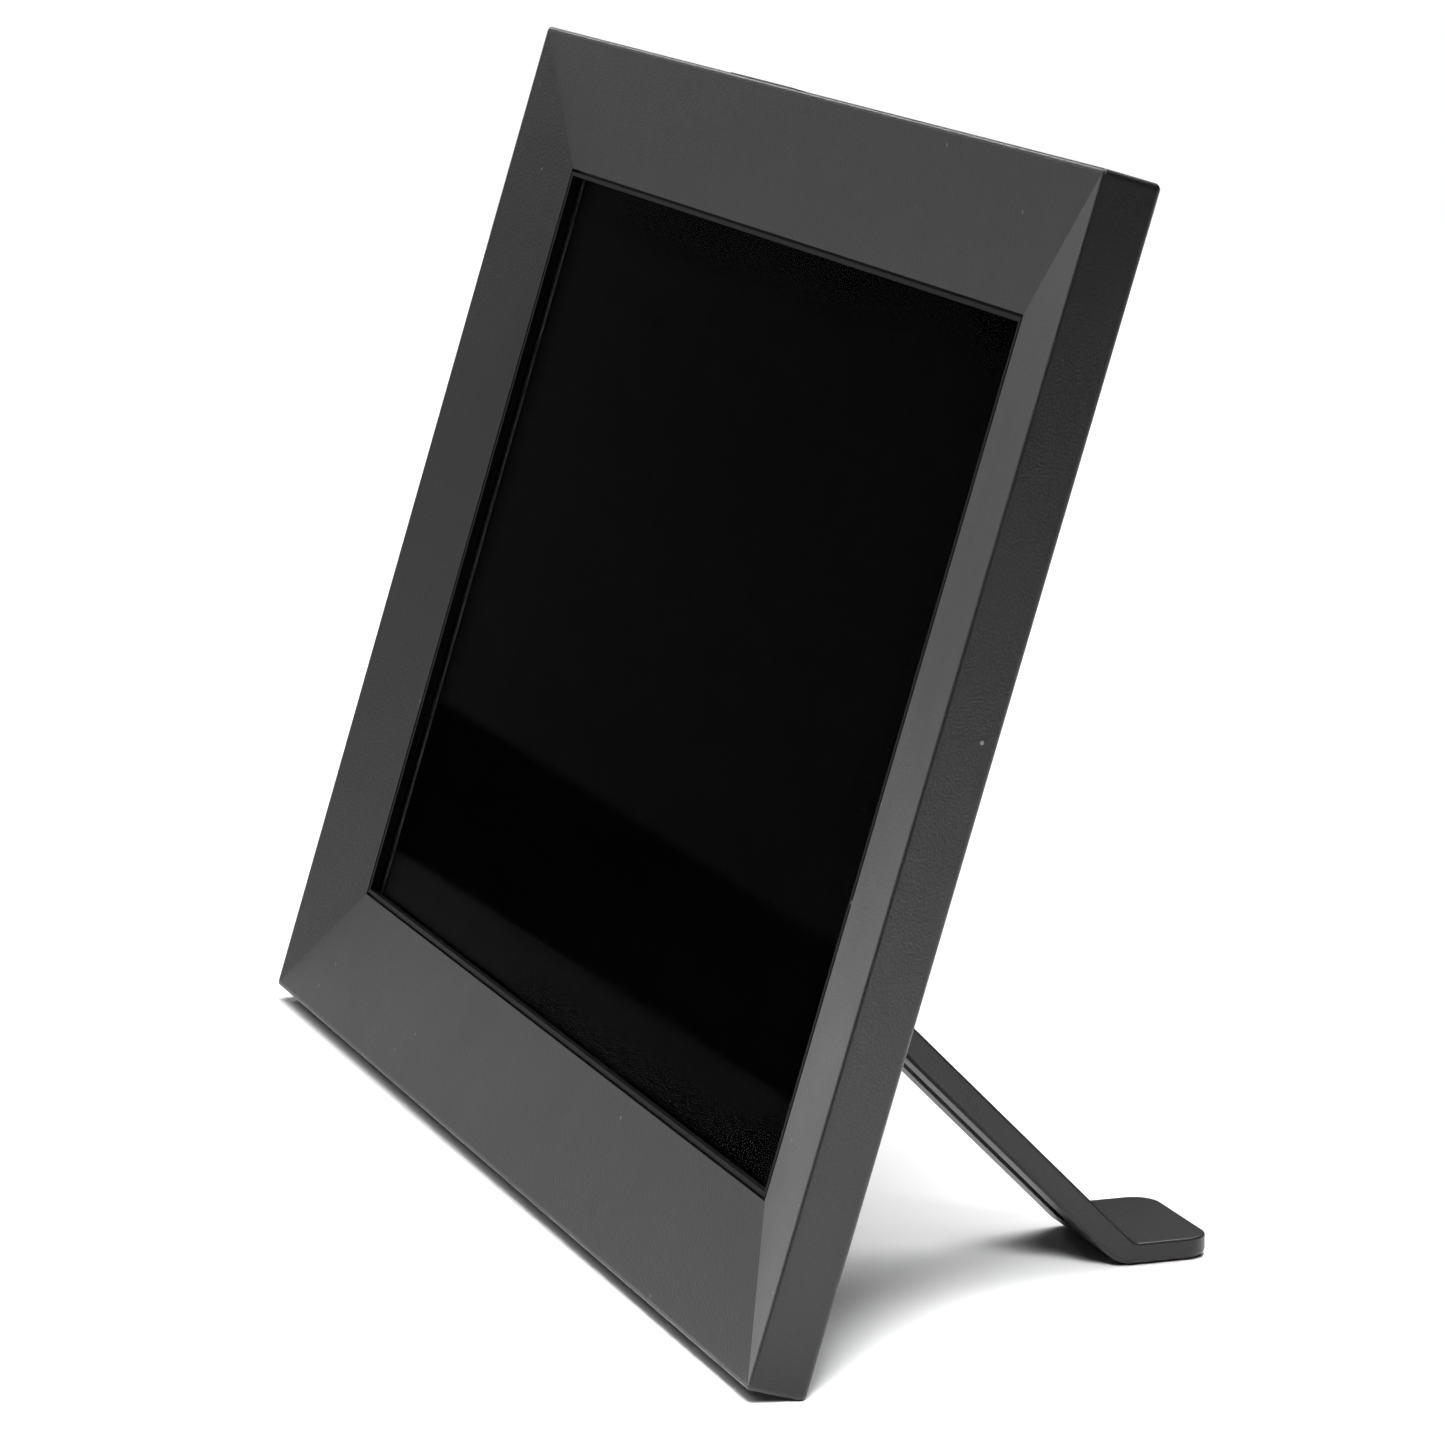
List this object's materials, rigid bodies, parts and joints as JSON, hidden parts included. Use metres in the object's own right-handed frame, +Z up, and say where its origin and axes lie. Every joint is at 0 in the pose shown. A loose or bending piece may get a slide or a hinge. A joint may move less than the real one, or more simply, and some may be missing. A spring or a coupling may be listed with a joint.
{
  "type": "digital photo frame",
  "caption": "Landscape electronic picture frame with a dished, mitred bezel round a dark display, leaning back on a short folding leg that swivels on the rear cover.",
  "frame": {"origin": "on the table, under the middle of the standing object's footprint", "axes": "+X to the right as a viewer sees the picture, +Y to the back, +Z up; the frame leans back 17 degrees about X"},
  "size_m": [0.2674, 0.0954, 0.1794],
  "materials": {
    "charcoal_moulding": "fine moulded grain, matt",
    "liner_plastic": "smooth moulded, satin",
    "display_glass": "polished",
    "display_black": "dark polariser film",
    "clear_acrylic": "clear, polished",
    "foam": "soft open foam",
    "plated_steel": "zinc plated sheet",
    "screw_steel": "nickel plated",
    "black_screw": "black zinc plated",
    "pin_steel": "ground",
    "socket_steel": "tin plated sheet",
    "circuit_board": "green solder mask",
    "ribbon_film": "amber film",
    "connector_plastic": "moulded nylon",
    "chip_epoxy": "moulded epoxy",
    "can_aluminium": "drawn can",
    "key_plastic": "satin moulded",
    "gloss_key_plastic": "polished",
    "washer_nylon": "moulded nylon",
    "foot_rubber": "matt",
    "cone_paper": "pressed paper"
  },
  "bodies": {
    "case": {"front_bezel": "charcoal_moulding", "rear_cover": "charcoal_moulding", "inner_liner": "liner_plastic", "glass_pane": "display_glass", "pane_gasket": "foam", "panel_front_frame": "plated_steel", "display_cell": "display_black", "light_guide": "clear_acrylic", "light_bar": "circuit_board", "panel_back_tray": "plated_steel", "panel_bracket_left": "plated_steel", "panel_bracket_right": "plated_steel", "bracket_screws": "screw_steel", "panel_driver_board": "circuit_board", "panel_ribbon": "ribbon_film", "ribbon_connector": "connector_plastic", "cover_screws": "black_screw", "main_board": "circuit_board", "board_screws": "screw_steel", "processor": "chip_epoxy", "memory_chips": "chip_epoxy", "thermal_pad": "foam", "processor_shield": "plated_steel", "inductors": "chip_epoxy", "capacitors": "can_aluminium", "coin_cell": "screw_steel", "cell_holder": "connector_plastic", "card_slot": "socket_steel", "usb_socket": "socket_steel", "mini_usb_socket": "socket_steel", "power_socket": "socket_steel", "key_board": "circuit_board", "key_switches": "connector_plastic", "key_board_screws": "screw_steel", "top_key_board": "circuit_board", "top_key_switch": "connector_plastic", "speaker_gasket_left": "foam", "speaker_frame_left": "connector_plastic", "speaker_magnet_left": "screw_steel", "speaker_cone_left": "cone_paper", "speaker_gasket_right": "foam", "speaker_frame_right": "connector_plastic", "speaker_magnet_right": "screw_steel", "speaker_cone_right": "cone_paper"},
    "swivel": {"turntable": "charcoal_moulding", "swivel_washer": "washer_nylon", "turntable_retainer": "plated_steel", "retainer_screws": "screw_steel", "hinge_pin": "pin_steel"},
    "leg": {"stand_leg": "charcoal_moulding", "foot_pad": "foot_rubber"},
    "menu_key": {"menu_key": "key_plastic"},
    "previous_key": {"previous_key": "key_plastic"},
    "next_key": {"next_key": "key_plastic"},
    "select_key": {"select_key": "key_plastic"},
    "top_key": {"top_key": "gloss_key_plastic"}
  },
  "joints": [
    {"name": "stand_swivel", "type": "hinge", "parent": "case", "child": "swivel", "pos_m": [0.0711, -0.00805, 0.0436], "axis": [0, 0.9563, -0.2924], "range_deg": [-90, 90]},
    {"name": "stand_fold", "type": "hinge", "parent": "swivel", "child": "leg", "pos_m": [0.0711, -0.00805, 0.0436], "axis": [1, 0, 0], "range_deg": [-61, 0]},
    {"name": "menu_key_press", "type": "slide", "parent": "case", "child": "menu_key", "axis": [0, -0.9563, 0.2924], "range_m": [0, 0.0003], "stiffness_N_per_m": 1000, "springref_m": -0.0002},
    {"name": "previous_key_press", "type": "slide", "parent": "case", "child": "previous_key", "axis": [0, -0.9563, 0.2924], "range_m": [0, 0.0003], "stiffness_N_per_m": 1000, "springref_m": -0.0002},
    {"name": "next_key_press", "type": "slide", "parent": "case", "child": "next_key", "axis": [0, -0.9563, 0.2924], "range_m": [0, 0.0003], "stiffness_N_per_m": 1000, "springref_m": -0.0002},
    {"name": "select_key_press", "type": "slide", "parent": "case", "child": "select_key", "axis": [0, -0.9563, 0.2924], "range_m": [0, 0.0003], "stiffness_N_per_m": 1000, "springref_m": -0.0002},
    {"name": "top_key_press", "type": "slide", "parent": "case", "child": "top_key", "axis": [0, -0.2924, -0.9563], "range_m": [0, 0.0003], "stiffness_N_per_m": 1000, "springref_m": -0.0002}
  ]
}
